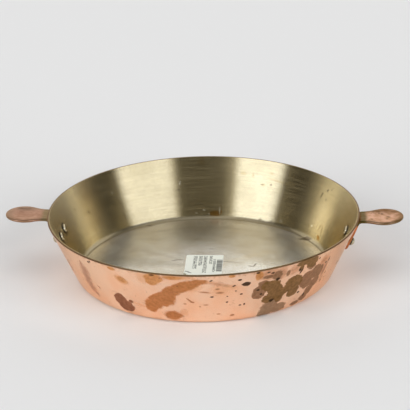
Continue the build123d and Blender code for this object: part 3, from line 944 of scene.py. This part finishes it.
def pan_skin(name, node, material, trees, outer, inner, roundings):
    """Copper shell or steel lining, in place of its solid."""
    skin = build_from_tree(name, trees["pan_skin"], {
        "Rim Radius": RIM_RADIUS, "Base Radius": BASE_RADIUS, "Height": PAN_HEIGHT,
        "Outer Depth": outer, "Inner Depth": inner,
        "Corner Radius": INNER_CORNER_RADIUS + WALL_THICKNESS,
        "Outer Rim Rounding": roundings[0], "Inner Rim Rounding": roundings[1],
        "Segments": BODY_SEGMENTS, "Material": material})
    skin.modifiers.new("even_normals", "WEIGHTED_NORMAL").weight = NORMALS_WEIGHT
    made_plain(skin)
    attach(skin, "root")
    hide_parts(node)


def handle(name, node, material):
    """Handle with the soft edges of a casting, from its own solid."""
    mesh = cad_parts[node].data.copy()
    loose = bmesh.new()
    loose.from_mesh(mesh)
    bmesh.ops.remove_doubles(loose, verts=loose.verts, dist=MERGE_DISTANCE)
    loose.to_mesh(mesh)
    loose.free()
    piece = new_object(name, mesh)
    remesh = piece.modifiers.new("fine_skin", "REMESH")
    remesh.mode = "VOXEL"
    remesh.voxel_size = HANDLE_VOXEL
    remesh.use_smooth_shade = True
    relax = piece.modifiers.new("soft_edges", "SMOOTH")
    relax.factor = HANDLE_SMOOTHING_SHARE
    relax.iterations = HANDLE_SMOOTHING
    made_plain(piece)
    only_material(piece.data, material)
    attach(piece, "root")
    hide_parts(node)


def rivets(trees, material):
    """All four rivets."""
    row = build_from_tree("rivets", trees["rivets"], {**RIVET_SIZES, "Material": material})
    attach(row, "root")
    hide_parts("rivet_left_front", "rivet_left_back", "rivet_right_front", "rivet_right_back")


def label(material):
    """Paper label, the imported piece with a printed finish."""
    only_material(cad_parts["paper_label"].data, material)


# Studio

STUDIO_REACH = 8.0
STUDIO_GREY = (0.80, 0.80, 0.80)
STUDIO_ROUGHNESS = 0.9


def floor():
    """Large pale floor under the pan."""
    material, tree, surface = new_material("studio_floor", metallic=0.0)
    wire(tree, surface["Base Color"], STUDIO_GREY)
    surface["Roughness"].default_value = STUDIO_ROUGHNESS
    mesh = bpy.data.meshes.new("studio_floor")
    corners = [(x * STUDIO_REACH, y * STUDIO_REACH, 0) for x, y in ((-1, -1), (1, -1), (1, 1), (-1, 1))]
    mesh.from_pydata(corners, [], [(0, 1, 2, 3)])
    mesh.materials.append(material)
    plane = new_object("studio_floor", mesh)


def camera():
    """Camera at the photo's viewing angle."""
    turn = (Matrix.Rotation(CAMERA_AZIMUTH, 4, "Z") @ Matrix.Rotation(math.pi / 2 - CAMERA_ELEVATION, 4, "X")
            @ Matrix.Rotation(CAMERA_ROLL, 4, "Z"))
    data = bpy.data.cameras.new("camera")
    data.lens = FOCAL_PIXELS / FRAME_PIXELS * data.sensor_width
    data.clip_end = CAMERA_SIGHT
    eye = new_object("camera", data)
    back_off = Matrix.Translation((0, 0, CAMERA_DISTANCE))
    eye.matrix_world = Matrix.Translation(CAMERA_TARGET) @ turn @ back_off
    bpy.context.scene.camera = eye


# Studio light by direction from the pan, in degrees from the camera's side and above the horizon.
# Each pair of levels is for mirror-like and for matt surfaces.
LEFT_BOX = (27.5, 67.0)
RIGHT_BOX = (24.2, 70.3)
BOX_CLIMB = (5.0, 40.0)
BOX_BLURS = (4.5, 0.7)
CLIMB_BLURS = (5.0, 5.0)
BACKDROP_SIDE = (90.0, 120.0)
BACKDROP_TOP = (50.0, 40.0)
CEILING_EDGE = (53.0, 63.0)
BOX_LIGHT = (2.9, 5.5)
BACKDROP_LIGHT = (0.96, 0.97)
ROOM_LIGHT = (0.04, 0.026)
CEILING_LIGHT = (0.42, 0.75)
BACKGROUND_LIGHT = 0.61  # as the camera sees it behind the floor
BOX_TINT = (1.0, 1.11, 1.46)
RIGHT_BOX_SHARE = 0.84
GLOW_WIDTH = 7.5  # beside the left box
GLOW_SHARE = 0.11


def studio_light():
    """World that shines by direction."""
    world = bpy.data.worlds.new("studio")
    bpy.context.scene.world = world
    world.use_nodes = True
    tree = world.node_tree
    tree.nodes.clear()
    rays = add(tree, "ShaderNodeLightPath").outputs
    direction = add(tree, "ShaderNodeTexCoord").outputs["Generated"]
    parts = split(tree, turned(tree, direction, -math.degrees(CAMERA_AZIMUTH)))
    degrees = 180 / math.pi
    ahead = times(tree, parts["Y"], -1.0)
    swing = calc(tree, "ABSOLUTE", calc(tree, "ARCTAN2", parts["X"], ahead))
    bearing = times(tree, swing, degrees)
    climb = times(tree, calc(tree, "ARCSINE", parts["Z"]), degrees)
    on_right = calc(tree, "GREATER_THAN", parts["X"], 0.0)
    inner, outer = [spread(tree, on_right, left, right) for left, right in zip(LEFT_BOX, RIGHT_BOX)]
    boxes = times(tree, window(tree, bearing, inner, outer, *BOX_BLURS),
                  window(tree, climb, *BOX_CLIMB, *CLIMB_BLURS))
    glow = times(tree, minus(tree, 1.0, on_right),
                 window(tree, bearing, LEFT_BOX[0] - GLOW_WIDTH, LEFT_BOX[1], *BOX_BLURS))
    boxes = times(tree, boxes, spread(tree, on_right, 1.0, RIGHT_BOX_SHARE))
    boxes = most(tree, boxes, times(tree, glow, GLOW_SHARE))
    behind = smooth_step(tree, bearing, *BACKDROP_SIDE)
    backdrop = times(tree, behind, smooth_step(tree, climb, *BACKDROP_TOP))
    ceiling = smooth_step(tree, climb, *CEILING_EDGE)
    total = 0.0
    for mask, levels in ((1.0, ROOM_LIGHT), (boxes, BOX_LIGHT), (backdrop, BACKDROP_LIGHT),
                         (ceiling, CEILING_LIGHT)):
        level = spread(tree, rays["Is Glossy Ray"], levels[1], levels[0])
        total = calc(tree, "MULTIPLY_ADD", mask, level, total)
    shown = made(tree, "ShaderNodeMix", {"Factor": rays["Is Camera Ray"], 2: total, 3: BACKGROUND_LIGHT},
                 data_type="FLOAT")
    cool = times(tree, boxes, rays["Is Glossy Ray"])
    tint = mix_colour(tree, cool, (1, 1, 1), BOX_TINT)
    light = made(tree, "ShaderNodeBackground", {"Color": tint, "Strength": shown})
    add(tree, "ShaderNodeOutputWorld", {"Surface": light})


def build():
    """Every piece of the pan."""
    lathe = lathe_tree()
    trees = {"pan_skin": pan_skin_tree(lathe), "rivets": rivets_tree(knob_tree(lathe))}
    groups = {"wall_place": wall_place_group(), "blob": blob_group(), "specks": speck_group(),
              "brushing": brushing_group(), "scratches": scratch_group()}
    pan_skin("copper_body", "copper_shell", shell_material(groups), trees,
             0.0, COPPER_THICKNESS, (RIM_EDGE_ROUNDING, LINING_EDGE_ROUNDING))
    pan_skin("steel_inside", "steel_lining", lining_material(groups), trees,
             COPPER_THICKNESS, WALL_THICKNESS, (LINING_EDGE_ROUNDING, LINING_EDGE_ROUNDING))
    handle("handle_right_cast", "handle_right", handle_material(
        groups, "handle_copper_pink", light=(0.74, 0.45, 0.325), dark=(0.52, 0.28, 0.155),
        painted_shade_colour=(0.28, 0.138, 0.06), edge_tarnish_and_shade=(0.15, 0.095, 0.035), edge_share=0.8,
        root_shade_colour=(0.10, 0.08, 0.02), spots=0.85, dents=HANDLE_DENTS))
    handle("handle_left_cast", "handle_left", handle_material(
        groups, "handle_copper_brown", light=(0.50, 0.29, 0.21), dark=(0.40, 0.215, 0.145),
        painted_shade_colour=(0.37, 0.24, 0.17), edge_tarnish_and_shade=(0.27, 0.16, 0.075), edge_share=0.55,
        root_shade_colour=(0.24, 0.18, 0.09), spots=0.3, dents=[]))
    rivets(trees, rivet_material())
    label(label_material(groups))


build()
floor()
camera()
studio_light()
scene = bpy.context.scene
scene.view_settings.view_transform = "Standard"
